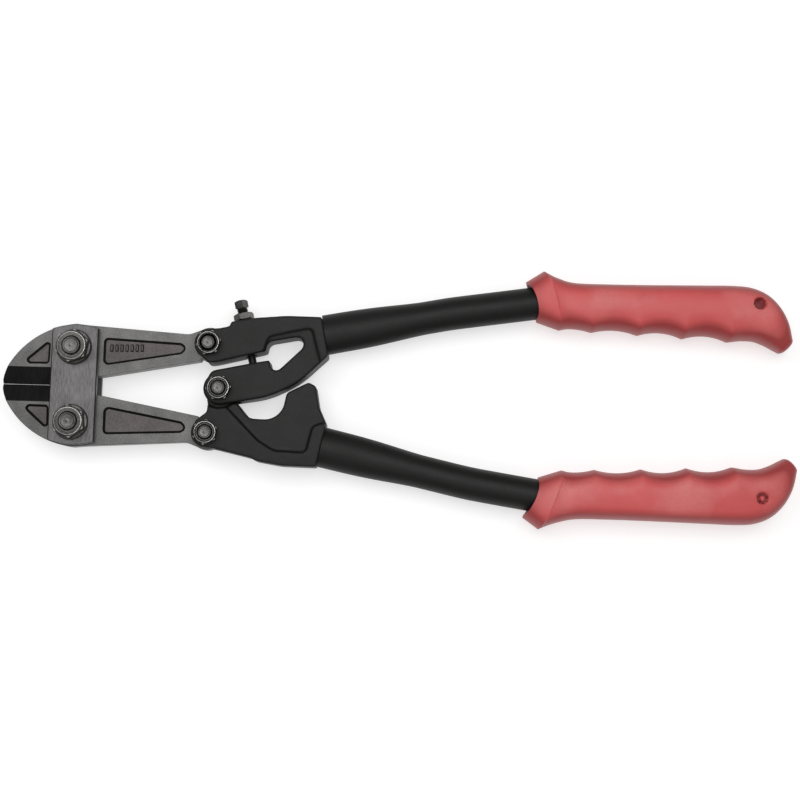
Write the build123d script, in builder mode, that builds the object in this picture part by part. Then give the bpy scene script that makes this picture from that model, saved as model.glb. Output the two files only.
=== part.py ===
from build123d import *

import os
from math import atan2, cos, hypot, radians, sin

# Bolt cutters lying flat, jaws towards -X, upper handle towards +Y, all in millimetres.

os.makedirs("parts", exist_ok=True)

# The outlines below are written from the middle between the two jaw bolts. The row's
# origin is the centre of the whole tool's footprint, so every plane is set back by this.
footprint_centre = (147.97, -0.6)

# Heights above the table
middle = 11.0
jaw_thickness = 8.0
plate_thickness = 3.0
head_thickness = 16.0
leg_thickness = 14.0
web_thickness = 13.0
fork_gap = 8.4
tongue_thickness = 8.0

# The five pivots
jaw_bolt_y = 17.0
handle_pivot = (61.1, 20.2)
centre_pivot_x = 66.2
jaw_bolt_radius = 4.0
pivot_bolt_radius = 3.0
running_gap = 0.05
open_pivot_radius = 4.8

# Jaws
blade_height = 7.8
blade_half_gap = 0.08
blade_edge_half = 0.25
blade_end_x = -9.0
recess_depth = 0.8
lower_recess_shifts = (0.5, 1.2)
tail_radius = 7.6

# Plates
plate_left = -10.2
plate_right = 10.8
plate_end_y = 25.2
plate_crown_y = 27.2

# Heads
ear_radius = 6.8
centre_boss_radius = 7.3
tongue_radius = 6.7
step_gap = 1.75
ear_pocket_radius = 8.0

# Fasteners
jaw_nut_flats = 13.0
jaw_nut_height = 6.2
jaw_flange_radius = 8.2
jaw_flange_height = 1.6
jaw_bolt_head_height = 3.95
jaw_bolt_end = 1.0
pivot_nut_flats = 10.0
pivot_nut_height = 4.0
pivot_head_height = 2.8
pivot_bolt_end = 0.5

# Adjusting screw: distances run down its axis from the middle of the lock nut's seat
screw_seat = (75.8, 32.1)
screw_lean = 13.0
screw_radius = 2.5
screw_tip_radius = 1.85
screw_head_width = 4.4
screw_head_top = -9.4
screw_head_bottom = -5.7
lock_nut_flats = 8.0
lock_nut_height = 3.3
thread_end = 16.5
tip_pocket_end = 22.2

# Handle tubes: the centre line starts at the seam with the head
tube_wall = 1.5
tube_radius = 7.5
tube_lines = {
    "upper": [(113.0, 26.3), (170.0, 37.7), (215.0, 44.5), (298.0, 44.5)],
    "lower": [(113.0, 25.0), (180.0, 39.7), (217.0, 45.3), (300.0, 45.3)],
}
tube_bends = [200.0, 90.0]
flare_half_width = 9.2
flare_half_height = 7.8
tang_length = 36.0
seam_gap = 0.05

# The lower grip is the same moulding turned over, pushed on a little further out
lower_grip_shift = (2.0, 1.2)


def level(height):
    """The outline plane at this height above the table."""
    return Plane(origin=(-footprint_centre[0], -footprint_centre[1], height))


def outline(corners, side=1):
    """A closed outline from rows of x, y and corner radius. A side of -1 mirrors it."""
    points = [(x, side * y) for x, y, radius in corners]
    radii = [radius for x, y, radius in corners]
    return FilletPolyline(*points, radius=radii, close=True)


def finish(piece, name):
    """Labels the piece and writes its STEP file."""
    piece.part.label = name
    export_step(piece.part, f"parts/{name}.step")


# Jaws

jaw_front_arc = [(-32.4, 3.6), (-18.1, 21.4), (0.0, 28.0)]
jaw_back_line = [(6.0, 27.4), (51.6, 24.5), (57.2, 26.7), handle_pivot]
jaw_tail_corner = (51.6, 24.5)
jaw_inner_line = [(56.6, 12.6), (13.2, 4.5), (0.0, 2.2), (blade_end_x, blade_half_gap)]
front_recess = [
    (-22.8, 10.9, 1.6), (-13.0, 19.5, 1.6), (-11.4, 18.6, 0.8), (-11.6, 9.4, 1.6), (-20.6, 9.3, 1.2),
]
rear_recess = [
    (12.8, 22.0, 2.0), (47.8, 20.4, 2.0), (51.0, 18.4, 2.0), (48.2, 15.4, 2.0), (12.8, 9.2, 2.4),
]


def make_jaw(name, side):
    with BuildPart() as jaw:
        low = middle - jaw_thickness / 2
        with BuildSketch(level(low)) as jaw_profile:
            with BuildLine():
                front = ThreePointArc(*[(x, side * y) for x, y in jaw_front_arc])
                behind = [(x, side * y) for x, y in jaw_back_line + jaw_inner_line]
                nose = [(-32.9, side * blade_half_gap), (-32.9, side * 2.0)]
                Polyline(front @ 1, *behind, *nose, front @ 0)
            make_face()
            with Locations((handle_pivot[0], side * handle_pivot[1])):
                Circle(tail_radius)
            tail_corner = (jaw_tail_corner[0], side * jaw_tail_corner[1], 0)
            fillet(jaw_profile.vertices().sort_by_distance(tail_corner)[0], 7)
        extrude(amount=jaw_thickness)
        # ground bevels on both faces, meeting the flat centre at the cutting edge
        bevel_end = Plane.YZ.offset(blade_end_x - footprint_centre[0])
        for face in (1, -1):
            with BuildSketch(bevel_end):
                with BuildLine():
                    edge_y = side * blade_half_gap - footprint_centre[1]
                    back_y = side * blade_height - footprint_centre[1]
                    past_y = -side * 2.0 - footprint_centre[1]
                    skin = middle + face * (jaw_thickness / 2 + 0.01)
                    edge = middle + face * blade_edge_half
                    Polyline((back_y, skin), (edge_y, edge), (past_y, edge), (past_y, skin), close=True)
                make_face()
            extrude(amount=-30.0, mode=Mode.SUBTRACT)
        shifts = (0, 0) if side == 1 else lower_recess_shifts
        for recess, shift in zip((front_recess, rear_recess), shifts):
            for height in (low, middle + jaw_thickness / 2 - recess_depth):
                with BuildSketch(level(height)):
                    with BuildLine():
                        outline([(x + shift, y, radius) for x, y, radius in recess], side)
                    make_face()
                extrude(amount=recess_depth, mode=Mode.SUBTRACT)
        with BuildSketch(level(low)):
            with Locations((0, side * jaw_bolt_y)):
                Circle(jaw_bolt_radius + running_gap)
            with Locations((handle_pivot[0], side * handle_pivot[1])):
                Circle(pivot_bolt_radius + running_gap)
        extrude(amount=jaw_thickness, mode=Mode.SUBTRACT)
    finish(jaw, name)


make_jaw("upper_jaw", 1)
make_jaw("lower_jaw", -1)


# Link plates, one each side of the jaws

def make_plate(name, height):
    with BuildPart() as plate:
        with BuildSketch(level(height)):
            with BuildLine():
                top_right = (plate_right, plate_end_y + 0.4)
                top = ThreePointArc((plate_left, plate_end_y), (0.5, plate_crown_y), top_right)
                right = Line(top @ 1, (plate_right, -plate_end_y - 0.4))
                bottom = ThreePointArc(right @ 1, (0.5, -plate_crown_y), (plate_left, -plate_end_y))
                Line(bottom @ 1, top @ 0)
            make_face()
            with Locations((0, jaw_bolt_y), (0, -jaw_bolt_y)):
                Circle(jaw_bolt_radius + running_gap, mode=Mode.SUBTRACT)
        extrude(amount=plate_thickness)
        chamfer(plate.edges().group_by(Axis.Z)[-1].filter_by(GeomType.LINE), 0.3)
        chamfer(plate.edges().group_by(Axis.Z)[0].filter_by(GeomType.LINE), 0.3)
    finish(plate, name)


jaw_top = middle + jaw_thickness / 2
jaw_bottom = middle - jaw_thickness / 2
plate_gap = 0.03
make_plate("front_plate", jaw_top + plate_gap)
make_plate("rear_plate", jaw_bottom - plate_gap - plate_thickness)


# Bolts and nuts, all upright

def make_bolt(name, place, radius, flats, head_low, head_height, end):
    """Hexagon head at the bottom, plain shank, chamfered end at the top."""
    with BuildPart() as bolt:
        with BuildSketch(level(head_low)):
            with Locations(place):
                RegularPolygon(flats / 2, 6, major_radius=False)
        extrude(amount=head_height)
        with BuildSketch(level(head_low + head_height)):
            with Locations(place):
                Circle(radius)
        extrude(amount=end - head_low - head_height)
        chamfer(bolt.edges().group_by(Axis.Z)[-1], 0.15 * radius)
        chamfer(bolt.edges().group_by(Axis.Z)[0], 0.4)
    finish(bolt, name)


def make_nut(name, place, radius, flats, low, height, flange_radius=0.0, flange_height=0.0):
    """Hexagon nut with a bearing flange where one is asked for."""
    with BuildPart() as nut:
        with BuildSketch(level(low)):
            with Locations(place):
                RegularPolygon(flats / 2, 6, major_radius=False)
        extrude(amount=height)
        chamfer(nut.edges().group_by(Axis.Z)[-1], 0.5)
        if flange_radius:
            with BuildSketch(level(low)):
                with Locations(place):
                    Circle(flange_radius)
            extrude(amount=flange_height, taper=25)
        with BuildSketch(level(low)):
            with Locations(place):
                Circle(radius + running_gap)
        extrude(amount=height, mode=Mode.SUBTRACT)
    finish(nut, name)


plate_top = jaw_top + plate_gap + plate_thickness
seat_gap = 0.02
for word, side in (("upper", 1), ("lower", -1)):
    place = (0, side * jaw_bolt_y)
    nut_low = plate_top + seat_gap
    bolt_end = nut_low + jaw_nut_height + jaw_bolt_end
    head_low = jaw_bottom - plate_gap - plate_thickness - seat_gap - jaw_bolt_head_height
    make_bolt(
        f"{word}_jaw_bolt",
        place,
        jaw_bolt_radius,
        jaw_nut_flats,
        head_low,
        jaw_bolt_head_height,
        bolt_end,
    )
    make_nut(
        f"{word}_jaw_nut",
        place,
        jaw_bolt_radius,
        jaw_nut_flats,
        nut_low,
        jaw_nut_height,
        jaw_flange_radius,
        jaw_flange_height,
    )

pivots = [
    ("upper", handle_pivot, head_thickness),
    ("lower", (handle_pivot[0], -handle_pivot[1]), head_thickness),
    ("centre", (centre_pivot_x, 0), leg_thickness),
]
for word, place, thickness in pivots:
    nut_low = middle + thickness / 2 + seat_gap
    head_low = middle - thickness / 2 - seat_gap - pivot_head_height
    bolt_end = nut_low + pivot_nut_height + pivot_bolt_end
    make_bolt(
        f"{word}_pivot_bolt",
        place,
        pivot_bolt_radius,
        pivot_nut_flats,
        head_low,
        pivot_head_height,
        bolt_end,
    )
    make_nut(f"{word}_pivot_nut", place, pivot_bolt_radius, pivot_nut_flats, nut_low, pivot_nut_height)


# Handle heads

upper_head_outline = [
    (61.3, 27.0, 0), (65.0, 27.2, 3), (70.0, 28.3, 0.8), (70.6, 30.4, 0.3), (81.0, 32.4, 4),
    (96.0, 33.8, 40), (116.0, 33.6, 0), (114.9, 15.9, 0.8), (102.0, 3.4, 40), (88.0, -3.6, 40),
    (66.2, -7.3, 0), (59.1, 0.0, 0), (62.0, 7.9, 4), (82.8, 12.4, 8), (88.4, 13.4, 0.4),
    (89.4, 9.0, 2.5), (92.6, 8.9, 3), (103.9, 20.0, 3.2), (102.6, 24.6, 3.0), (87.4, 21.6, 3.0),
    (86.8, 17.4, 0.4), (64.0, 11.7, 4), (60.8, 11.3, 1.2), (57.5, 14.5, 0), (54.5, 20.2, 0),
]
leg_outline = [
    (119.0, 3.0, 0), (112.0, 12.0, 3), (108.9, 22.4, 4), (107.4, 28.6, 2.4), (97.3, 26.4, 8),
    (87.6, 24.0, 3.5), (85.8, 18.0, 1), (84.0, 14.6, 0), (50.0, 8.2, 0), (50.0, -16.0, 0),
    (119.0, -16.0, 0),
]
lower_head_outline = [
    (54.5, -20.2, 0), (56.3, -14.6, 0), (61.4, -10.6, 2), (60.0, -2.0, 0), (66.2, 0.0, 0),
    (72.9, -1.0, 0), (73.6, -5.6, 1), (80.0, -13.2, 5), (94.4, -13.6, 9), (96.4, -2.2, 1),
    (97.3, -0.8, 1.0), (106.4, 3.9, 1.6), (109.9, 2.2, 2), (111.6, -7.4, 6), (115.4, -15.6, 0.6),
    (118.0, -17.1, 0), (118.0, -34.6, 0), (95.0, -34.2, 20), (83.6, -32.4, 3), (82.0, -31.2, 3),
    (64.0, -27.2, 2), (61.3, -27.0, 0),
]
tongue_cut = [(50, -3.0), (59.5, -3.0), (66.4, -7.8), (76.0, -6.2), (82.0, 4.0), (50, 12.0)]
web_outline = [
    (50.0, -8.5, 0), (69.6, -8.4, 2.5), (84.6, -23.4, 9), (92.0, -27.8, 9), (106.2, -28.0, 2.2),
    (109.0, -16.2, 3), (113.4, -14.6, 0.8), (120.0, -20.0, 0), (120.0, 12.0, 0), (50.0, 12.0, 0),
]


def both_faces(corners, thickness, cut_to):
    """Cuts an outlined area of a head down to a smaller thickness on both faces."""
    depth = (thickness - cut_to) / 2
    for height in (middle - thickness / 2, middle + cut_to / 2):
        with BuildSketch(level(height)) as area:
            with BuildLine():
                outline(corners)
            make_face()
        extrude(area.sketch, amount=depth, mode=Mode.SUBTRACT)


def tube_plane(name, along):
    """Plane square to a tube's first straight this far along it, and that point on the outline."""
    side = 1 if name == "upper" else -1
    start, knee = tube_lines[name][:2]
    lean = atan2(knee[1] - start[1], knee[0] - start[0])
    x, y = start[0] + along * cos(lean), start[1] + along * sin(lean)
    plane = Plane(
        origin=(x - footprint_centre[0], side * y - footprint_centre[1], middle),
        x_dir=(-side * sin(lean), cos(lean), 0),
        z_dir=(cos(lean), side * sin(lean), 0),
    )
    return plane, (x, y)


def slot_for_tail(side):
    """Fork slot that the jaw's tail turns in: a round pocket, open to the front."""
    with BuildSketch(level(middle - fork_gap / 2)) as pocket:
        with Locations((handle_pivot[0], side * handle_pivot[1])):
            Circle(ear_pocket_radius)
        with Locations((handle_pivot[0] - 10, side * (handle_pivot[1] + 2.5))):
            Rectangle(20, 24.6)
    extrude(pocket.sketch, amount=fork_gap, mode=Mode.SUBTRACT)


def add_tang(name):
    """Trims a head square at the tube's end and adds the tang that goes inside the tube."""
    with BuildSketch(tube_plane(name, -seam_gap)[0]) as seam:
        Rectangle(60, 30)
    extrude(seam.sketch, amount=12, mode=Mode.SUBTRACT)
    sections = []
    for along, across, up in ((-1.0, 7.4, 6.0), (tang_length, 5.7, 5.7)):
        with BuildSketch(tube_plane(name, along)[0]) as section:
            Ellipse(across, up)
        sections.append(section.sketch)
    loft(sections)


screw_axis = (sin(radians(screw_lean)), -cos(radians(screw_lean)))


def along_screw(distance):
    """Plane square to the screw's axis, this far down it from the lock nut's seat."""
    x = screw_seat[0] + distance * screw_axis[0] - footprint_centre[0]
    y = screw_seat[1] + distance * screw_axis[1] - footprint_centre[1]
    return Plane(origin=(x, y, middle), x_dir=(0, 0, 1), z_dir=(screw_axis[0], screw_axis[1], 0))


with BuildPart() as upper_head:
    with BuildSketch(level(middle - head_thickness / 2)):
        with BuildLine():
            outline(upper_head_outline)
        make_face()
        with Locations(handle_pivot):
            Circle(ear_radius)
        with Locations((centre_pivot_x, 0)):
            Circle(centre_boss_radius)
    extrude(amount=head_thickness)
    both_faces(leg_outline, head_thickness, leg_thickness)
    slot_for_tail(1)
    with BuildSketch(level(middle - fork_gap / 2)):
        with Locations((centre_pivot_x, 0)):
            Circle(10.6)
    extrude(amount=fork_gap, mode=Mode.SUBTRACT)
    add_tang("upper")
    with BuildSketch(level(0)):
        with Locations(handle_pivot, (centre_pivot_x, 0)):
            Circle(pivot_bolt_radius + running_gap)
    extrude(amount=30, mode=Mode.SUBTRACT)
    # flat seat for the lock nut, then the screw's hole and the pocket for its tip
    with BuildSketch(along_screw(0)):
        Rectangle(head_thickness + 2, 10.4)
    extrude(amount=-4, mode=Mode.SUBTRACT)
    with BuildSketch(along_screw(0)):
        Circle(screw_radius + running_gap)
    extrude(amount=18, mode=Mode.SUBTRACT)
    with BuildSketch(along_screw(0)):
        Circle(screw_tip_radius + 2 * running_gap)
    extrude(amount=tip_pocket_end, mode=Mode.SUBTRACT)
finish(upper_head, "upper_head")

with BuildPart() as lower_head:
    with BuildSketch(level(middle - head_thickness / 2)):
        with BuildLine():
            outline(lower_head_outline)
        make_face()
        with Locations((handle_pivot[0], -handle_pivot[1])):
            Circle(ear_radius)
        with Locations((centre_pivot_x, 0)):
            Circle(tongue_radius)
    extrude(amount=head_thickness)
    both_faces(web_outline, head_thickness, web_thickness)
    # only the tongue is thin enough to go between the upper head's ears
    for height in (middle - head_thickness / 2, middle + tongue_thickness / 2):
        with BuildSketch(level(height)):
            with Locations((centre_pivot_x, 0)):
                Circle(centre_boss_radius + step_gap)
            with BuildLine():
                Polyline(tongue_cut, close=True)
            make_face()
        extrude(amount=(head_thickness - tongue_thickness) / 2, mode=Mode.SUBTRACT)
    slot_for_tail(-1)
    add_tang("lower")
    with BuildSketch(level(0)):
        with Locations((handle_pivot[0], -handle_pivot[1])):
            Circle(pivot_bolt_radius + running_gap)
        with Locations((centre_pivot_x, 0)):
            Circle(open_pivot_radius)
    extrude(amount=30, mode=Mode.SUBTRACT)
finish(lower_head, "lower_head")


# Adjusting screw and its lock nut, on one leaning axis

with BuildPart() as adjusting_screw:
    with BuildSketch(along_screw(screw_head_top)):
        Rectangle(screw_head_width, screw_head_width, rotation=30)
    extrude(amount=screw_head_bottom - screw_head_top)
    with BuildSketch(along_screw(screw_head_bottom)):
        Circle(screw_radius)
    extrude(amount=thread_end - screw_head_bottom)
    with BuildSketch(along_screw(thread_end)):
        Circle(screw_tip_radius)
    extrude(amount=tip_pocket_end - thread_end - running_gap)
finish(adjusting_screw, "adjusting_screw")

with BuildPart() as adjusting_lock_nut:
    with BuildSketch(along_screw(-lock_nut_height - seat_gap)):
        RegularPolygon(lock_nut_flats / 2, 6, major_radius=False, rotation=18)
        Circle(screw_radius + running_gap, mode=Mode.SUBTRACT)
    extrude(amount=lock_nut_height)
finish(adjusting_lock_nut, "adjusting_lock_nut")


# Handle tubes

# distance along the first straight, and the share of the flare left there
flare = [(0.0, 1.0), (14.0, 0.92), (28.0, 0.6), (40.0, 0.15), (46.0, 0.0)]


def add_tube_run(name, radius, mode, end_extra=0.0):
    """Round run of the tube from the flare's end, along its bends, to the end in the grip."""
    side = 1 if name == "upper" else -1
    plane, start = tube_plane(name, flare[-1][0])
    knee, bend, end = tube_lines[name][1:]
    points = [start, knee, bend, (end[0] + end_extra, end[1])]
    with BuildLine(level(middle)) as path:
        FilletPolyline(*[(x, side * y) for x, y in points], radius=tube_bends)
    with BuildSketch(plane) as section:
        Circle(radius)
    sweep(section.sketch, path=path.line, mode=mode)


def make_tube(name):
    with BuildPart() as tube:
        for inset, mode in ((0.0, Mode.ADD), (tube_wall, Mode.SUBTRACT)):
            sections = []
            for along, share in flare:
                with BuildSketch(tube_plane(name, along)[0]) as section:
                    across = tube_radius + share * (flare_half_width - tube_radius) - inset
                    up = tube_radius + share * (flare_half_height - tube_radius) - inset
                    Ellipse(across, up)
                sections.append(section.sketch)
            loft(sections, mode=mode)
            add_tube_run(name, tube_radius - inset, mode)
    finish(tube, f"{name}_tube")


make_tube("upper")
make_tube("lower")


# Vinyl grips. Each section is the outer point, the inner point and the half height.

grip_sections = [
    (204.6, 54.0, 209.2, 34.5, 9.4),
    (211.2, 58.2, 214.2, 33.0, 10.4),
    (218.6, 55.4, 220.0, 31.0, 10.8),
    (226.0, 53.4, 226.6, 31.8, 10.7),
    (235.0, 53.0, 234.8, 30.9, 10.9),
    (244.6, 53.1, 244.6, 32.0, 10.8),
    (255.6, 53.2, 255.6, 29.8, 11.0),
    (265.8, 53.4, 265.6, 30.9, 10.8),
    (276.4, 53.6, 276.4, 28.7, 11.0),
    (286.8, 53.8, 286.8, 29.9, 10.8),
    (298.6, 54.0, 297.6, 27.7, 11.0),
    (307.0, 53.5, 304.4, 28.6, 10.8),
    (314.2, 50.6, 309.4, 28.2, 10.4),
    (320.0, 45.2, 314.0, 26.8, 9.4),
    (324.4, 37.8, 317.8, 25.2, 8.0),
    (326.4, 28.0, 321.6, 23.6, 5.4),
]
bore_gap = 0.03


def make_grip(name):
    side, shift = (1, (0.0, 0.0)) if name == "upper" else (-1, lower_grip_shift)
    with BuildPart() as grip:
        for outer_x, outer_y, inner_x, inner_y, half_height in grip_sections:
            across = atan2(outer_y - inner_y, outer_x - inner_x)
            x = (outer_x + inner_x) / 2 + shift[0] - footprint_centre[0]
            y = side * ((outer_y + inner_y) / 2 + shift[1]) - footprint_centre[1]
            plane = Plane(
                origin=(x, y, middle),
                x_dir=(cos(across), side * sin(across), 0),
                z_dir=(sin(across), -side * cos(across), 0),
            )
            with BuildSketch(plane):
                Ellipse(hypot(outer_x - inner_x, outer_y - inner_y) / 2, half_height)
        loft()
        add_tube_run(name, tube_radius + bore_gap, Mode.SUBTRACT, bore_gap)
    finish(grip, f"{name}_grip")


make_grip("upper")
make_grip("lower")
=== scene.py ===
from math import cos, hypot, pi, radians, sin

import bmesh
import bpy
from mathutils import Matrix, Vector


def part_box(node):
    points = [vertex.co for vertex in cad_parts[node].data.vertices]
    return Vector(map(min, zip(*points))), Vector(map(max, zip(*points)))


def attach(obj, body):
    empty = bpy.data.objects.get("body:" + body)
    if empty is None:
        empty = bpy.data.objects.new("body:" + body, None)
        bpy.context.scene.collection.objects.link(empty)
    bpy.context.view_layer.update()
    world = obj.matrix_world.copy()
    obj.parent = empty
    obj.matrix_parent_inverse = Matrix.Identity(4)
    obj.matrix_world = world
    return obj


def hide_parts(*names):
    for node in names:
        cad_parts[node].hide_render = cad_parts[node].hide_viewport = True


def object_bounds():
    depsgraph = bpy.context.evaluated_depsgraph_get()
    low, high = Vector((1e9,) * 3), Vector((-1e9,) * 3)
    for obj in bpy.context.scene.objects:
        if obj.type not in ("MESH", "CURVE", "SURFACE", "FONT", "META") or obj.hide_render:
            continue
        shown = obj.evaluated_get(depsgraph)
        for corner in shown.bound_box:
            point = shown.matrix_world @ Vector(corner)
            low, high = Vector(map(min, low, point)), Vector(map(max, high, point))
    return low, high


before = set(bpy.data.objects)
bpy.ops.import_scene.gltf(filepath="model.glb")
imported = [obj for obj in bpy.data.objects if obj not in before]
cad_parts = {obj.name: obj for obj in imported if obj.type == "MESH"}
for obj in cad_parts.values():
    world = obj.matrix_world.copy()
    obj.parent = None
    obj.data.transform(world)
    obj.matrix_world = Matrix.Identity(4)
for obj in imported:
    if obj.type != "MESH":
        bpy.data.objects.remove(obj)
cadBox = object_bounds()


def middleOf(node):
    low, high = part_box(node)
    return (low + high) / 2


upperBolt, lowerBolt = middleOf("upper_jaw_bolt"), middleOf("lower_jaw_bolt")
toolStart = (upperBolt + lowerBolt) / 2
toolStart.z = middleOf("upper_jaw").z
mergeDistance = 0.000002  # metres


def spot(x, y, z=0.0):  # millimetres from the middle between the jaw bolts
    return toolStart + Vector((x, y, z)) / 1000


# Camera, floor and lights

studio = {
    "cameraAt": (149.3, -61.7, 640.0),
    "aim": (147.9, -2.5, 0.0),
    "roll": 1.55,
    "lens": 63.5,
    "worldStrength": 0.34,
    "floorGlow": 0.56,
    "floorColour": (0.6, 0.6, 0.6, 1.0),
    "floorSize": 14.0,
    "lightsFace": (120, 0),
    # place, size and watts of each soft light
    "lights": [
        ((-170, 270, 760), 380, 1.45),
        ((360, 250, 760), 380, 1.25),
        ((150, -360, 780), 460, 0.85),
        ((140, 60, 1000), 260, 1.3),
    ],
}


def makeStudio():
    camera = bpy.data.objects.new("camera", bpy.data.cameras.new("camera"))
    bpy.context.scene.collection.objects.link(camera)
    camera.data.lens = studio["lens"]
    camera.data.clip_start = 0.01
    camera.location = spot(*studio["cameraAt"])
    ahead = (spot(*studio["aim"]) - camera.location).normalized()
    roll = radians(studio["roll"])
    right = Vector((cos(roll), sin(roll), 0))
    right = (right - right.dot(ahead) * ahead).normalized()
    above = right.cross(ahead)
    camera.rotation_euler = Matrix((right, above, -ahead)).transposed().to_euler()
    bpy.context.scene.camera = camera

    bm = bmesh.new()
    bmesh.ops.create_grid(bm, x_segments=1, y_segments=1, size=studio["floorSize"])
    mesh = bpy.data.meshes.new("floor")
    bm.to_mesh(mesh)
    bm.free()
    floor = bpy.data.objects.new("floor", mesh)
    floor.location.z = cadBox[0].z - 0.0002
    bpy.context.scene.collection.objects.link(floor)
    paper = bpy.data.materials.new("paleFloor")
    paper.use_nodes = True
    surface = paper.node_tree.nodes["Principled BSDF"]
    surface.inputs["Base Color"].default_value = studio["floorColour"]
    surface.inputs["Roughness"].default_value = 0.9
    surface.inputs["Specular IOR Level"].default_value = 0.1
    surface.inputs["Emission Color"].default_value = (1.0, 1.0, 1.0, 1.0)
    surface.inputs["Emission Strength"].default_value = studio["floorGlow"]
    mesh.materials.append(paper)

    world = bpy.data.worlds.new("studio")
    world.use_nodes = True
    sky = world.node_tree.nodes["Background"]
    sky.inputs["Color"].default_value = (1.0, 1.0, 1.0, 1.0)
    sky.inputs["Strength"].default_value = studio["worldStrength"]
    bpy.context.scene.world = world
    for number, (place, size, power) in enumerate(studio["lights"]):
        lamp = bpy.data.lights.new(f"softLight{number}", "AREA")
        lamp.size = size / 1000
        lamp.energy = power
        light = bpy.data.objects.new(lamp.name, lamp)
        light.location = spot(*place)
        towards = spot(*studio["lightsFace"]) - light.location
        light.rotation_euler = towards.to_track_quat("-Z", "Y").to_euler()
        bpy.context.scene.collection.objects.link(light)
    bpy.context.scene.view_settings.view_transform = "Standard"


makeStudio()
print("studio ready")


# Finishes

class Reading:  # one socket's value, with sums written as sums
    def __init__(self, tree, socket):
        self.tree, self.socket = tree, socket

    def maths(self, operation, first, second):
        made = self.tree.nodes.new("ShaderNodeMath")
        made.operation = operation
        for place, value in enumerate((first, second)):
            if isinstance(value, Reading):
                self.tree.links.new(value.socket, made.inputs[place])
            else:
                made.inputs[place].default_value = value
        return Reading(self.tree, made.outputs[0])

    def __add__(self, other):
        return self.maths("ADD", self, other)

    def __sub__(self, other):
        return self.maths("SUBTRACT", self, other)

    def __rsub__(self, other):
        return self.maths("SUBTRACT", other, self)

    def __mul__(self, other):
        return self.maths("MULTIPLY", self, other)

    __radd__, __rmul__ = __add__, __mul__


class Finish:
    def __init__(self, name, **fixed):
        self.material = bpy.data.materials.new(name)
        self.material.use_nodes = True
        self.tree = self.material.node_tree
        self.shader = self.tree.nodes["Principled BSDF"]
        for socket, value in fixed.items():
            self.shader.inputs[socket.replace("_", " ")].default_value = value
        self.place = self.node("ShaderNodeTexCoord", output="Object")

    def node(self, kind, settings=None, inputs=None, output=0):
        made = self.tree.nodes.new(kind)
        for key, value in (settings or {}).items():
            if key == "stops":
                steps = made.color_ramp.elements
                while len(steps) < len(value):
                    steps.new(0.5)
                for step, (where, shade) in zip(steps, value):
                    step.position = where
                    step.color = (shade, shade, shade, 1.0)
            else:
                setattr(made, key, value)
        for key, value in (inputs or {}).items():
            if isinstance(value, Reading):
                self.tree.links.new(value.socket, made.inputs[key])
            else:
                made.inputs[key].default_value = value
        return Reading(self.tree, made.outputs[output])

    def noise(self, size, stretch=(1, 1, 1), detail=3.0):  # size in millimetres
        scale = [1000 / (size * part) for part in stretch]
        spread = self.node("ShaderNodeMapping", inputs={"Vector": self.place, "Scale": scale})
        scaled = {"Vector": spread, "Scale": 1.0, "Detail": detail}
        return self.node("ShaderNodeTexNoise", inputs=scaled)

    def ramp(self, value, stops):
        return self.node("ShaderNodeValToRGB", {"stops": stops}, {"Fac": value})

    def mix(self, share, first, second):
        return self.node("ShaderNodeMix", {"data_type": "RGBA"}, {0: share, 6: first, 7: second}, 2)

    def feed(self, socket, value):
        self.tree.links.new(value.socket, self.shader.inputs[socket])

    def bump(self, height, depth, strength=1.0):  # depth in millimetres
        inputs = {"Height": height, "Distance": depth / 1000, "Strength": strength}
        self.feed("Normal", self.node("ShaderNodeBump", inputs=inputs))


def screen(*parts):  # a screen colour of 0 to 255, as light
    return tuple(((part / 255 + 0.055) / 1.055) ** 2.4 for part in parts) + (1.0,)


steelLooks = {
    "forged": (screen(70, 69, 69), screen(122, 121, 120)),
    "floor": (screen(76, 71, 70), screen(108, 102, 101)),
    # near-black painted shade for the recess creases and round the raised bars
    "line": (screen(5, 5, 5), screen(14, 13, 13)),
    "plate": (screen(78, 76, 77), screen(122, 120, 121)),
    "blade": (screen(6, 6, 6), screen(30, 28, 29)),
    # dark softened edges: dark oxide with painted shade on the jaws, and a painted shadow along the
    # plates' edges
    "outline": (screen(14, 13, 13), screen(42, 41, 40)),
    "zinc": (screen(40, 39, 38), screen(88, 87, 84)),
    # the dark nuts' and bolts' own colour, and painted shade in the jaw nuts' wells, along their
    # hexagons' foot and in the bolt ends' grooves
    "zincDarkAndShade": (screen(8, 8, 8), screen(24, 24, 23)),
    # a painted highlight for the bright chamfer and rim edges of the nuts
    "zincHighlight": (screen(168, 167, 164), screen(216, 215, 212)),
    "boltEnd": (screen(58, 57, 56), screen(112, 110, 108)),
}


def makeSteel(name, grain, rough, metal=0.35, stretch=(1, 1, 1), depth=0.02, shine=0.5):
    dark, light = steelLooks[name]
    steel = Finish(f"{name}Steel", Specular_IOR_Level=shine)
    speckle = steel.noise(grain, stretch)
    cloud = steel.noise(9.0, detail=2.0)
    blend = steel.ramp(speckle * 0.65 + cloud * 0.35, [(0.34, 0.0), (0.66, 1.0)])
    steel.feed("Base Color", steel.mix(blend, dark, light))
    steel.feed("Roughness", speckle * 0.22 + (rough - 0.11))
    steel.shader.inputs["Metallic"].default_value = metal
    steel.bump(speckle, depth)
    return steel


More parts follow.
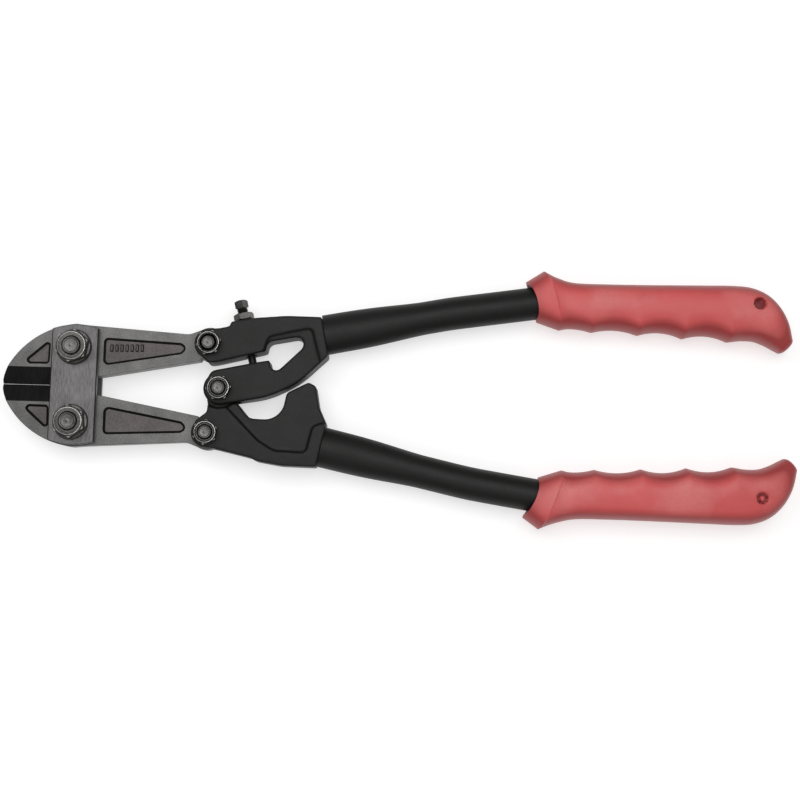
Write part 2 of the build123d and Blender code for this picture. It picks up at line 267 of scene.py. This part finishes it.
forgedSteel = makeSteel("forged", 0.5, 0.46, depth=0.035)
recessFloor = makeSteel("floor", 0.7, 0.6, metal=0.25, depth=0.05)
recessLineShade = makeSteel("line", 0.6, 0.7, metal=0.0, shine=0.12)
plateSteel = makeSteel("plate", 0.6, 0.44, stretch=(1, 6, 6), depth=0.02)
bladeSteel = makeSteel("blade", 0.5, 0.34, metal=0.6, stretch=(1, 16, 16), depth=0.02)
outlineOxideAndShade = makeSteel("outline", 0.4, 0.5, metal=0.3, shine=0.3)
zincSteel = makeSteel("zinc", 0.9, 0.3, metal=0.5, depth=0.02)
zincDarkAndShade = makeSteel("zincDarkAndShade", 0.9, 0.42, metal=0.1, depth=0.03, shine=0.25)
zincHighlight = makeSteel("zincHighlight", 0.5, 0.3, metal=0.6)
boltEnd = makeSteel("boltEnd", 0.45, 0.3, metal=0.5, depth=0.04)


paintLooks = {"dark": screen(9, 9, 8), "light": screen(20, 20, 19), "dust": screen(46, 46, 43)}


def makePaint():
    paint = Finish("blackPaint", Specular_IOR_Level=0.26)
    peel = paint.noise(1.3, detail=2.0)
    cloud = paint.noise(14.0, detail=3.0)
    fleck = paint.ramp(paint.noise(0.35, detail=1.0), [(0.66, 0.0), (0.76, 1.0)])
    body = paint.mix(cloud, paintLooks["dark"], paintLooks["light"])
    paint.feed("Base Color", paint.mix(fleck * 0.5, body, paintLooks["dust"]))
    paint.feed("Roughness", cloud * 0.16 + peel * 0.1 + 0.36)
    paint.bump(peel * 0.8 + fleck * 0.3, 0.05)
    return paint


# each look: deep, the darker red that paints the flanks' shade and the cloudy tone; warm, the
# crown's lit red; dull, chalky dust
vinylLooks = {
    "red": (screen(158, 56, 56), screen(214, 88, 88), screen(216, 126, 123)),
    "shaded": (screen(122, 44, 46), screen(144, 56, 58), screen(146, 66, 66)),
}


def makeVinyl(name):
    deep, warm, dull = vinylLooks[name]
    vinyl = Finish(f"{name}Vinyl", Specular_IOR_Level=0.45, Sheen_Weight=0.05)
    grain = vinyl.noise(0.5, detail=2.0)
    cloud = vinyl.noise(16.0, detail=2.0)
    chalk = vinyl.ramp(vinyl.noise(26.0, detail=4.0), [(0.48, 0.0), (0.66, 1.0)])
    # painted light and shade by height: the crown above and below the middle is painted lighter,
    # the flanks darker
    height = vinyl.node("ShaderNodeSeparateXYZ", inputs={"Vector": vinyl.place}, output="Z")
    aboveMiddle = height * 1000 - toolStart.z * 1000
    fromMiddle = vinyl.node("ShaderNodeMath", {"operation": "ABSOLUTE"}, {0: aboveMiddle})
    paintedCrownLight = vinyl.ramp(fromMiddle * 0.1, [(0.78, 0.0), (1.02, 1.0)])
    body = vinyl.mix(paintedCrownLight * (cloud * 0.5 + 0.6), deep, warm)
    vinyl.feed("Base Color", vinyl.mix(chalk * grain * paintedCrownLight, body, dull))
    vinyl.feed("Roughness", grain * 0.14 + cloud * 0.12 + 0.3)
    vinyl.bump(grain, 0.03)
    return vinyl


blackPaint, redVinyl, shadedVinyl = makePaint(), makeVinyl("red"), makeVinyl("shaded")
print("finishes ready")


# Building pieces

def makePiece(name, bm, finishes, body, node, sharp=32.0, weighted=False):
    for face in bm.faces:
        face.smooth = True
    for edge in bm.edges:
        edge.smooth = len(edge.link_faces) == 2 and edge.calc_face_angle(0.0) < radians(sharp)
    mesh = bpy.data.meshes.new(name)
    bm.to_mesh(mesh)
    bm.free()
    for finish in finishes:
        mesh.materials.append(finish.material)
    piece = bpy.data.objects.new(name, mesh)
    bpy.context.scene.collection.objects.link(piece)
    if weighted:
        even = piece.modifiers.new("evenShading", "WEIGHTED_NORMAL")
        even.keep_sharp = True
    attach(piece, body)
    if node:
        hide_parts(node)
    return piece


def addRing(bm, points):
    verts = bmesh.ops.create_circle(bm, cap_ends=False, segments=len(points), radius=1.0)["verts"]
    for vert, point in zip(verts, points):
        vert.co = point
    return list(dict.fromkeys(edge for vert in verts for edge in vert.link_edges))


def stackRings(rings, marks=None, closed=False):
    # rings of points joined in turn; marks give the finish of each band
    bm = bmesh.new()
    loops = [addRing(bm, points) for points in rings]
    pairs = list(zip(loops, loops[1:])) + ([(loops[-1], loops[0])] if closed else [])
    for number, (first, second) in enumerate(pairs):
        for face in bmesh.ops.bridge_loops(bm, edges=first + second)["faces"]:
            face.material_index = marks[number] if marks else 0
    if not closed:
        for loop in (loops[0], loops[-1]):
            mark = (marks[0] if loop is loops[0] else marks[-1]) if marks else 0
            for face in bmesh.ops.contextual_create(bm, geom=loop)["faces"]:
                face.material_index = mark
    bmesh.ops.recalc_face_normals(bm, faces=bm.faces)
    return bm


def ringPoints(
    centre, across, along, axis, height, radius, flats=0.0, corners=6, turn=0.0, count=96,
):
    # a round ring of this radius, cut by a polygon's flats where they come nearer
    points = []
    for number in range(count):
        angle = turn + 2 * pi * number / count
        reach = radius
        if flats:
            step = 2 * pi / corners
            reach = min(radius, flats / 2 / cos((angle - turn) % step - step / 2))
        onRing = across * reach * cos(angle) + along * reach * sin(angle)
        points.append(centre + (axis * height + onRing) / 1000)
    return points


# Jaws and plates: the CAD shapes with softened edges

jawLooks = {
    "edgeWidth": 0.22,
    "plateEdgeWidth": 0.26,
    "barEdgeWidth": 0.12,
    "bladeStart": -8.5,
    "bandWidth": 0.95,
    "bandRise": 0.5,
    "floorDepth": 3.2,  # height of the recess floors from the middle
    "barCount": 7,
    "firstBar": (16.4, 17.3),
    "barStep": (2.3, 0.06),
    "barSize": (1.35, 3.3, 0.6),
    "barCorner": 0.3,
    "barSunk": 0.05,
    "barOutline": 0.36,
}


def copyOfNode(node):
    bm = bmesh.new()
    bm.from_mesh(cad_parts[node].data)
    bmesh.ops.remove_doubles(bm, verts=bm.verts, dist=mergeDistance)
    bmesh.ops.dissolve_limit(
        bm, angle_limit=radians(0.7), verts=bm.verts, edges=bm.edges, delimit={"MATERIAL"},
    )
    for face in bm.faces:
        face.material_index = 0
    return bm


def toolPlace(point):
    return (point - toolStart) * 1000


def softenEdges(bm, width, skip=None):
    edges = []
    for edge in bm.edges:
        if len(edge.link_faces) == 2 and edge.calc_face_angle(0.0) > radians(24):
            centre = toolPlace((edge.verts[0].co + edge.verts[1].co) / 2)
            if not (skip and skip(centre)):
                edges.append(edge)
    made = bmesh.ops.bevel(
        bm, geom=edges, offset=width / 1000, offset_type="OFFSET", affect="EDGES", segments=2,
        profile=0.5, material=-1, clamp_overlap=True,
    )
    return made["faces"]


def makeJaw(name):
    # finishes: 0 forged, 1 recess floor, 2 recess outline (painted shade), 3 blade, 4 softened edge
    # (dark oxide and painted shade)
    bm = copyOfNode(name)
    depth = jawLooks["floorDepth"]
    for face in bm.faces:
        centre, tilt = toolPlace(face.calc_center_median()), abs(face.normal.z)
        lowest = min(abs(toolPlace(vert.co).z) for vert in face.verts)
        oneSided = abs(centre.z) > depth - 0.1
        if centre.x < jawLooks["bladeStart"] and 0.3 < tilt < 0.97:
            face.material_index = 3
        elif tilt > 0.9 and abs(abs(centre.z) - depth) < 0.1:
            face.material_index = 1
        elif tilt < 0.3 and oneSided and abs(lowest - depth) < 0.1:
            face.material_index = 2
    floors = [face for face in bm.faces if face.material_index == 1]
    band = bmesh.ops.inset_region(
        bm, faces=floors, thickness=jawLooks["bandWidth"] / 1000, use_even_offset=True,
    )
    inside = {vert for face in floors for vert in face.verts}
    for face in band["faces"]:
        face.material_index = 2
    # the dark band of painted shade slopes down to the floor from the recess's wall
    for vert in {vert for face in band["faces"] for vert in face.verts} - inside:
        way = 1 if vert.co.z > toolStart.z else -1
        vert.co.z += way * jawLooks["bandRise"] / 1000
    # the cutting line itself stays sharp
    softened = softenEdges(
        bm, jawLooks["edgeWidth"], skip=lambda at: at.x < -8.0 and abs(at.y) < 1.2,
    )
    # the softened edges take the dark edge finish: oxide and painted shade
    for face in softened:
        if face.material_index == 0:
            face.material_index = 4
    finishes = [forgedSteel, recessFloor, recessLineShade, bladeSteel, outlineOxideAndShade]
    makePiece(f"{name}_forging", bm, finishes, name, name, weighted=True)


makeJaw("upper_jaw")
makeJaw("lower_jaw")
for plateName in ("front_plate", "rear_plate"):
    plate = copyOfNode(plateName)
    # the plates' softened edges take the dark edge finish, a painted shadow along each edge
    for face in softenEdges(plate, jawLooks["plateEdgeWidth"]):
        face.material_index = 1
    plateFinishes = [plateSteel, outlineOxideAndShade]
    makePiece(
        f"{plateName}_strap", plate, plateFinishes, "linkage", plateName,
        weighted=True,
    )


def makeBars():  # plain raised bars on the floor of the upper jaw's long recess
    long, wide, tall = jawLooks["barSize"]
    height = jawLooks["floorDepth"] + tall / 2 - jawLooks["barSunk"]
    (firstX, firstY), (stepX, stepY) = jawLooks["firstBar"], jawLooks["barStep"]
    bm = bmesh.new()
    for number in range(jawLooks["barCount"]):
        place = Matrix.Translation(spot(firstX + stepX * number, firstY + stepY * number, height))
        size = Matrix.Diagonal((long / 1000, wide / 1000, tall / 1000, 1))
        cube = bmesh.ops.create_cube(bm, size=1.0, matrix=place @ size)["verts"]
        edges = dict.fromkeys(edge for vert in cube for edge in vert.link_edges)
        upright = [edge for edge in edges if abs(edge.verts[0].co.z - edge.verts[1].co.z) > 1e-5]
        bmesh.ops.bevel(
            bm, geom=upright, offset=jawLooks["barCorner"] / 1000, offset_type="OFFSET",
            affect="EDGES", segments=4, profile=0.5, material=-1,
        )
    softenEdges(bm, jawLooks["barEdgeWidth"])
    bm.normal_update()
    tops = [face for face in bm.faces if face.normal.z > 0.9]
    bmesh.ops.inset_region(
        bm, faces=tops, thickness=jawLooks["barOutline"] / 1000, use_even_offset=True,
    )
    # the bar tops keep the floor finish; their sides and an inset ring round each top are painted
    # shade
    for face in bm.faces:
        face.material_index = 0 if face in tops else 1
    finishes = [recessFloor, recessLineShade]
    makePiece("upper_jaw_bars", bm, finishes, "upper_jaw", None)


makeBars()
print("jaws and plates ready")


# Handle heads: castings, so every edge is rounded before the paint goes on

castLooks = {"grid": 0.42, "passes": 9}


def makeCasting(node, body):
    source = bmesh.new()
    source.from_mesh(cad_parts[node].data)
    bmesh.ops.remove_doubles(source, verts=source.verts, dist=mergeDistance)
    mesh = bpy.data.meshes.new(f"{node}_blank")
    source.to_mesh(mesh)
    source.free()
    blank = bpy.data.objects.new(f"{node}_blank", mesh)
    bpy.context.scene.collection.objects.link(blank)
    skin = blank.modifiers.new("skin", "REMESH")
    skin.mode = "VOXEL"
    skin.voxel_size = castLooks["grid"] / 1000
    bpy.context.view_layer.update()
    skinned = blank.evaluated_get(bpy.context.evaluated_depsgraph_get())
    cast = bpy.data.meshes.new_from_object(skinned)
    bpy.data.objects.remove(blank)
    bm = bmesh.new()
    bm.from_mesh(cast)
    for _ in range(castLooks["passes"]):
        bmesh.ops.smooth_vert(
            bm, verts=bm.verts, factor=0.5, use_axis_x=True, use_axis_y=True, use_axis_z=True,
        )
    makePiece(f"{node}_casting", bm, [blackPaint], body, node, sharp=180)


makeCasting("upper_head", "upper_handle")
makeCasting("lower_head", "lower_handle")
for tubeName in ("upper_tube", "lower_tube"):
    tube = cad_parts[tubeName]
    tube.data.materials.clear()
    tube.data.materials.append(blackPaint.material)
print("heads and tubes ready")


# Nuts and bolts, as rows of height, radius, flats and finish of the band after the row
# finishes of a nut: 0 body, 1 bright edge (painted highlight), 2 dark (painted shade on the jaw
# nuts), 3 top; of a bolt: 0 head, 1 shank, 2 end

fastenerLooks = {
    "jawNutTurn": {"upper": 20.0, "lower": 35.0},
    "pivotNutTurn": {"upper": 12.0, "lower": 24.0, "centre": 5.0},
    "chamferRows": 5,
    # flats, rim, well and bore
    "jawNut": (12.9, 6.2, 4.55, 4.02),
    "pivotNut": (9.9, 4.75, 3.75, 3.02),
    "jawFlange": (8.1, 1.7),  # radius and thickness
    # height of the head, flats and radius of the shank
    "jawBolt": (3.95, 12.9, 3.95),
    "pivotBolt": (2.8, 9.9, 2.95),
    # rings of a bolt's end: drop from the top, share of the radius, finish; finish 1 on the groove
    # ring is painted shade
    "boltEnd": [
        (0.75, 1.0, 1), (0.3, 0.96, 2), (0.12, 0.87, 2), (0.2, 0.8, 1), (0.2, 0.76, 2),
        (0.06, 0.7, 2), (0.1, 0.45, 2), (0.16, 0.3, 2), (0.14, 0.2, 2), (0.0, 0.08, 2),
    ],
}


def nutRows(low, top, flats, rim, well, bore, flange=None):
    # up the outside, over the chamfered crown and down the bore
    corner = flats / 2 / cos(pi / 6)
    drop = (corner - rim) * 0.6
    rows = []
    if flange:
        wide, thick = flange
        rows += [(low, wide - 0.3, 0, 0), (low + 0.3, wide, 0, 0)]
        rows += [(low + 0.75, wide - 0.05, 0, 0), (low + thick, corner + 0.12, 0, 0)]
        # a dark line of painted shadow follows the hexagon where it stands on the flange
        rows += [(low + thick + 0.1, corner + 0.1, flats + 0.6, 2)]
        rows += [(low + thick + 0.15, corner + 0.02, flats, 0)]
    else:
        rows += [(low, corner - 0.25, flats, 0), (low + 0.25, corner, flats, 0)]
    # the two lowest chamfer rows are bright, a painted highlight along the hexagon's edges
    for number in range(fastenerLooks["chamferRows"]):
        share = number / fastenerLooks["chamferRows"]
        mark = 1 if number < 2 else 0
        rows.append((top - drop * (1 - share), corner - (corner - rim) * share, flats, mark))
    # thin bright bands at the rim and the well's edge are painted highlights; finish 2 down the
    # well is painted shade on the jaw nuts
    rows += [(top - 0.03, rim, 0, 1), (top, rim - 0.17, 0, 3)]
    rows += [(top, well, 0, 1), (top - 0.06, well - 0.1, 0, 2)]
    rows += [(top - 0.7, bore + 0.5, 0, 2), (top - 0.9, bore + 0.04, 0, 2)]
    return rows + [(low, bore + 0.04, 0, 0)]


def boltRows(low, head, flats, radius, top):
    corner = flats / 2 / cos(pi / 6)
    rows = [(low, 0.6, 0, 0), (low, corner * 0.84, 0, 0)]
    for number in range(1, 5):
        share = number / 4
        rows.append((low + 0.55 * share, corner * (0.84 + 0.16 * share), flats, 0))
    rows += [(low + head, corner, flats, 0), (low + head, radius, 0, 0)]
    end = fastenerLooks["boltEnd"]
    return rows + [(top - drop, radius * share, 0, mark) for drop, share, mark in end]


def makeTurned(name, body, node, rows, finishes, turn, closed):
    centre = middleOf(node)
    centre.z = 0.0
    x, y, z = Vector((1, 0, 0)), Vector((0, 1, 0)), Vector((0, 0, 1))
    rings = [ringPoints(centre, x, y, z, *row[:3], 6, radians(turn)) for row in rows]
    bm = stackRings(rings, [row[3] for row in rows], closed)
    makePiece(name, bm, finishes, body, node, sharp=22.0)


def makeFastener(word, kind, body, finishes, turn, extraTurn, flange=None):
    # one nut and its bolt
    nut, bolt = f"{word}_{kind}_nut", f"{word}_{kind}_bolt"
    low, high = (corner.z * 1000 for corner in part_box(nut))
    rows = nutRows(low, high, *fastenerLooks[f"{kind}Nut"], flange=flange)
    shape = "flange" if flange else "hex"
    makeTurned(f"{word}_{kind}_{shape}_nut", body, nut, rows, finishes[0], turn, True)
    low, high = (corner.z * 1000 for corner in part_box(bolt))
    rows = boltRows(low, *fastenerLooks[f"{kind}Bolt"], high)
    makeTurned(f"{word}_{kind}_hex_bolt", body, bolt, rows, finishes[1], turn + extraTurn, False)


def makeFasteners():
    # on the nuts the bright finish is a painted highlight, and on the jaw nuts the dark finish is
    # painted shade
    jawFinishes = [zincSteel, zincHighlight, zincDarkAndShade, zincSteel], [zincSteel, zincDarkAndShade, boltEnd]
    for word, turn in fastenerLooks["jawNutTurn"].items():
        flange = fastenerLooks["jawFlange"]
        makeFastener(word, "jaw", "linkage", jawFinishes, turn, 11, flange)
    pivotFinishes = [zincDarkAndShade, zincHighlight, zincDarkAndShade, zincDarkAndShade], [zincDarkAndShade, zincDarkAndShade, boltEnd]
    for word, turn in fastenerLooks["pivotNutTurn"].items():
        body = "lower_handle" if word == "lower" else "upper_handle"
        makeFastener(word, "pivot", body, pivotFinishes, turn, 17)


makeFasteners()


# Adjusting screw and its lock nut, on the leaning axis

screwLooks = {
    "seat": (75.8, 32.1),
    "lean": 13.0,
    "pitch": 0.8,
    "crest": 2.48,
    "root": 2.02,
    "headFlats": 4.35,
    "headTop": -9.4,
    "headFoot": -6.0,
    "threadFrom": -5.4,
    "threadTo": 16.2,
    # plain end beyond the thread, as height and radius
    "endRings": ((16.4, 1.83), (21.6, 1.83), (22.0, 1.5), (22.05, 0.4)),
    "rowsInTurn": 8,
    # lock nut, as height, radius and flats
    "nutRings": [
        (-3.3, 3.5, 0), (-3.15, 3.95, 0), (-2.95, 4.3, 8.0), (-2.7, 4.62, 8.0), (-0.62, 4.62, 8.0),
        (-0.37, 4.3, 8.0), (-0.17, 3.95, 0), (-0.03, 3.7, 0), (-0.03, 2.55, 0), (-3.3, 2.55, 0),
    ],
    "nutTurn": 18,
}


def makeScrew():
    seat = spot(*screwLooks["seat"])
    lean = radians(screwLooks["lean"])
    axis, up = Vector((sin(lean), -cos(lean), 0)), Vector((0, 0, 1))
    side = axis.cross(up)
    count, turn = 48, radians(30)

    def threadRing(height):
        root, deep = screwLooks["root"], screwLooks["crest"] - screwLooks["root"]
        points = []
        for number in range(count):
            angle = turn + 2 * pi * number / count
            wave = abs(((height / screwLooks["pitch"] - angle / (2 * pi)) % 1) * 2 - 1)
            reach = root + deep * min(1, wave * 1.25)
            onRing = up * reach * cos(angle) + side * reach * sin(angle)
            points.append(seat + (axis * height + onRing) / 1000)
        return points

    def squareRing(height, radius, flats=0.0):
        return ringPoints(seat, up, side, axis, height, radius, flats, 4, turn + pi / 4, count)

    flats = screwLooks["headFlats"]
    corner = flats / 2 * 2 ** 0.5
    top, foot = screwLooks["headTop"], screwLooks["headFoot"]
    rings = [squareRing(top, 0.4), squareRing(top, 1.9)]
    rings += [squareRing(top + 0.1 + 0.1 * step, 2.1 + 0.25 * step, flats) for step in range(5)]
    rings += [squareRing(foot, corner, flats), squareRing(foot + 0.25, corner * 0.86, flats)]
    rings.append(squareRing(foot + 0.4, 2.05))
    marks = [0] * len(rings)
    height = screwLooks["threadFrom"]
    while height < screwLooks["threadTo"]:
        rings.append(threadRing(height))
        marks.append(1)
        height += screwLooks["pitch"] / screwLooks["rowsInTurn"]
    for height, radius in screwLooks["endRings"]:
        rings.append(squareRing(height, radius))
        marks.append(1)
    bm = stackRings(rings, marks)
    makePiece(
        "adjusting_square_screw", bm, [zincSteel, zincDarkAndShade], "adjusting_screw", "adjusting_screw",
        sharp=30.0,
    )

    nutTurn = radians(screwLooks["nutTurn"])
    rows = screwLooks["nutRings"]
    rings = [ringPoints(seat, up, side, axis, *row, 6, nutTurn) for row in rows]
    makePiece(
        "adjusting_hex_nut", stackRings(rings, closed=True), [zincSteel], "adjusting_lock_nut",
        "adjusting_lock_nut", sharp=22.0,
    )


makeScrew()
print("fasteners ready")


# Vinyl grips: rows of outer point, inner point, half height and squareness

gripShape = {
    "mouth": (204.2, 53.2, 209.3, 34.8, 9.5, 6),
    "crease": (212.0, 58.3, 219.6, 31.4, 10.95, 9),
    "rows": [
        (212.8, 57.9, 220.3, 31.3, 10.5, 9),
        (218.2, 55.5, 224.4, 31.2, 10.15, 9),
        (226.0, 53.4, 230.0, 30.9, 10.5, 9),
        (240.0, 53.1, 241.0, 30.4, 10.9, 9),
        (260.0, 53.3, 260.0, 29.7, 11.0, 9),
        (285.0, 53.8, 283.0, 28.5, 11.0, 9),
        (298.6, 54.0, 296.0, 27.9, 11.0, 9),
        (307.0, 53.3, 302.6, 28.2, 10.9, 8),
        (314.2, 50.4, 308.4, 28.0, 10.6, 8),
        (320.0, 45.0, 313.4, 26.6, 9.8, 7),
        (324.0, 37.8, 317.2, 25.0, 8.6, 6),
        (326.0, 30.0, 320.0, 23.6, 6.6, 5),
    ],
    "ridges": [219.8, 234.6, 255.6, 276.1, 296.6],
    "grooves": [0.09, 0.15, 0.16, 0.16],
    "lastGroove": (296.6, 318.0, 0.05),
    "flankRise": 1.24,
    "crownWidth": 2.3,
    "mouthScoop": 2.1,
    "creaseScoop": 1.6,
    "scoopRows": 14,  # rows over which the scoop fades out
    "collarRows": 9,
    "lipInset": 0.07,
    "lipDrop": 0.6,
    "nubShare": 0.5,
    "spacing": 0.75,
    "around": 144,
    "dimples": {"upper": (309.4, 44.8, 2.6, 3.4, False), "lower": (310.6, 43.0, 2.6, 1.6, True)},
    "lowerShift": (2.0, 1.2),
    # how far back the lower grip's outer points sit: mouth, crease, first two rows
    "lowerBack": (1.7, 2.3, 2.3, 1.4),
    # the rounded end: share of the last row's size, and how far beyond it
    "endRings": [(0.93, 0.5), (0.8, 1.0), (0.6, 1.35), (0.35, 1.55), (0.08, 1.6)],
    "bore": 7.53,
    # height of the tube's straight part over the middle, and where it starts to bend
    "tubeLine": {"upper": (44.5, 221.8), "lower": (45.3, 223.7)},
    "bendRadius": 90,
    "boreEnd": 0.05,
    "boreRings": [240.0, 228.0, 222.0, 219.0, 216.0, 213.0, 211.5],
}


def smoothBetween(rows, spacing):  # a smooth curve through every row
    made = []
    for number in range(len(rows) - 1):
        before, start, end = rows[max(number - 1, 0)], rows[number], rows[number + 1]
        after = rows[min(number + 2, len(rows) - 1)]
        outerGap = hypot(end[0] - start[0], end[1] - start[1])
        innerGap = hypot(end[2] - start[2], end[3] - start[3])
        steps = max(1, round(max(outerGap, innerGap) / spacing))
        for step in range(steps):
            t = step / steps
            row = []
            for a, b, c, d in zip(before, start, end, after):
                square, cube = 2 * a - 5 * b + 4 * c - d, 3 * b - a - 3 * c + d
                row.append(0.5 * (2 * b + (c - a) * t + square * t * t + cube * t ** 3))
            made.append(row)
    return made + [list(rows[-1])]


def grooveDepth(x):
    ridges = gripShape["ridges"]
    spans = list(zip(ridges, ridges[1:], gripShape["grooves"])) + [gripShape["lastGroove"]]
    for start, end, depth in spans:
        if start < x < end:
            t = (x - start) / (end - start)
            return depth * 4 * t * (1 - t)
    return 0.0


def gripSection(row, side, shift, scoop=0.0, dimple=None):
    outerX, outerY, innerX, innerY, half, square = row
    middleX, middleY = (outerX + innerX) / 2, (outerY + innerY) / 2
    reachX, reachY = (outerX - innerX) / 2, (outerY - innerY) / 2
    count = gripShape["around"]
    points = []
    for number in range(count):
        angle = 2 * pi * number / count
        flat, high = cos(angle), sin(angle)
        inward = min(1, max(0, (0.1 - flat) / 0.75))
        pull = grooveDepth(middleX - reachX) * inward * inward * (3 - 2 * inward)
        # a steep oval flank, cut across by a nearly flat crown
        flank = hypot(flat / (1 - pull), high / (gripShape["flankRise"] * (1 - 1.3 * pull)))
        crown = hypot(flat / gripShape["crownWidth"], high)
        reach = (flank ** square + crown ** square) ** (-1 / square)
        x, y = middleX + reachX * reach * flat, middleY + reachY * reach * flat
        z = half * reach * high
        x += scoop * abs(high) ** 1.5
        if dimple:
            holeX, holeY, radius, depth, nub = dimple
            away = hypot(x - holeX, y - holeY)
            if away < radius + 0.5 and abs(z) > 3:
                sink = min(1, max(0, (radius + 0.3 - away) / 0.7))
                if nub and away < radius * gripShape["nubShare"]:
                    sink *= 0.25
                z -= depth * sink * (1 if z > 0 else -1)
        points.append(spot(x + shift[0], side * (y + shift[1]), z))
    return points


def gripRings(word, side, shift, dimple):  # from the collar's mouth to the closed end
    mouth, crease = gripShape["mouth"], gripShape["crease"]
    body = [list(row) for row in gripShape["rows"]]
    if word == "lower":
        backs = gripShape["lowerBack"]
        mouth, crease = (mouth[0] - backs[0],) + mouth[1:], (crease[0] - backs[1],) + crease[1:]
        body[0][0] -= backs[2]
        body[1][0] -= backs[3]
    inset = gripShape["lipInset"]
    swapped = mouth[2:4] + mouth[:2]
    lip = tuple(a * (1 - inset) + b * inset for a, b in zip(mouth[:4], swapped))
    lip += (mouth[4] - gripShape["lipDrop"], 6)
    mouthScoop, creaseScoop = gripShape["mouthScoop"], gripShape["creaseScoop"]
    rings = [gripSection(lip, side, shift, mouthScoop)]
    for step in range(gripShape["collarRows"]):
        t = step / (gripShape["collarRows"] - 1)
        row = [a + (b - a) * t for a, b in zip(mouth, crease)]
        rings.append(gripSection(row, side, shift, mouthScoop + (creaseScoop - mouthScoop) * t))
    for number, row in enumerate(smoothBetween(body, gripShape["spacing"])):
        scoop = creaseScoop * max(0, 1 - number / gripShape["scoopRows"])
        rings.append(gripSection(row, side, shift, scoop, dimple))
    last = body[-1]
    middleX, middleY = (last[0] + last[2]) / 2, (last[1] + last[3]) / 2
    long = hypot(last[0] - last[2], last[1] - last[3])
    for grow, ahead in gripShape["endRings"]:
        reachX, reachY = (last[0] - last[2]) / 2 * grow, (last[1] - last[3]) / 2 * grow
        x = middleX + (last[1] - last[3]) / long * ahead
        y = middleY - (last[0] - last[2]) / long * ahead
        row = (x + reachX, y + reachY, x - reachX, y - reachY, last[4] * grow, last[5])
        rings.append(gripSection(row, side, shift))
    return rings


def boreRings(word, side):  # along the tube's own middle line, back to the mouth
    lineY, bendX = gripShape["tubeLine"][word]
    radius, count = gripShape["bore"], gripShape["around"]
    end = toolPlace(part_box(f"{word}_tube")[1]).x + gripShape["boreEnd"]
    rings = []
    for x in [end, end - 20, end - 40] + gripShape["boreRings"]:
        back = max(0, bendX - x)
        lean = back / gripShape["bendRadius"]
        centre = spot(x, side * (lineY - back ** 2 / (2 * gripShape["bendRadius"])))
        across = Vector((-sin(lean), side * cos(lean), 0))
        axis = Vector((cos(lean), side * sin(lean), 0))
        rings.append(
            ringPoints(centre, across, Vector((0, 0, 1)), axis, 0, radius, count=count)
        )
    return rings


def makeGrip(word, side):
    shift = gripShape["lowerShift"] if word == "lower" else (0.0, 0.0)
    holeX, holeY, radius, depth, nub = gripShape["dimples"][word]
    dimple = (holeX - shift[0], holeY - shift[1], radius, depth, nub)
    bm = bmesh.new()
    outer = [addRing(bm, points) for points in gripRings(word, side, shift, dimple)]
    inner = [addRing(bm, points) for points in boreRings(word, side)]
    for loops in (outer, inner):
        for first, second in zip(loops, loops[1:]):
            bmesh.ops.bridge_loops(bm, edges=first + second)
    bmesh.ops.bridge_loops(bm, edges=outer[0] + inner[-1])
    bmesh.ops.contextual_create(bm, geom=outer[-1])
    bmesh.ops.contextual_create(bm, geom=inner[0])
    bmesh.ops.recalc_face_normals(bm, faces=bm.faces)
    # the dimple's floor is in deeper shade, apart from its nub
    hole = spot(dimple[0] + shift[0], side * (dimple[1] + shift[1]))
    for face in bm.faces:
        away = (face.calc_center_median() - hole).xy.length * 1000
        onNub = nub and away < radius * gripShape["nubShare"]
        if away < radius and abs(face.normal.z) > 0.5 and not onNub:
            face.material_index = 1
    finishes = [redVinyl, shadedVinyl]
    makePiece(
        f"{word}_vinyl_grip", bm, finishes, f"{word}_handle", f"{word}_grip",
        sharp=24.0,
    )


makeGrip("upper", 1)
makeGrip("lower", -1)
print("grips ready")
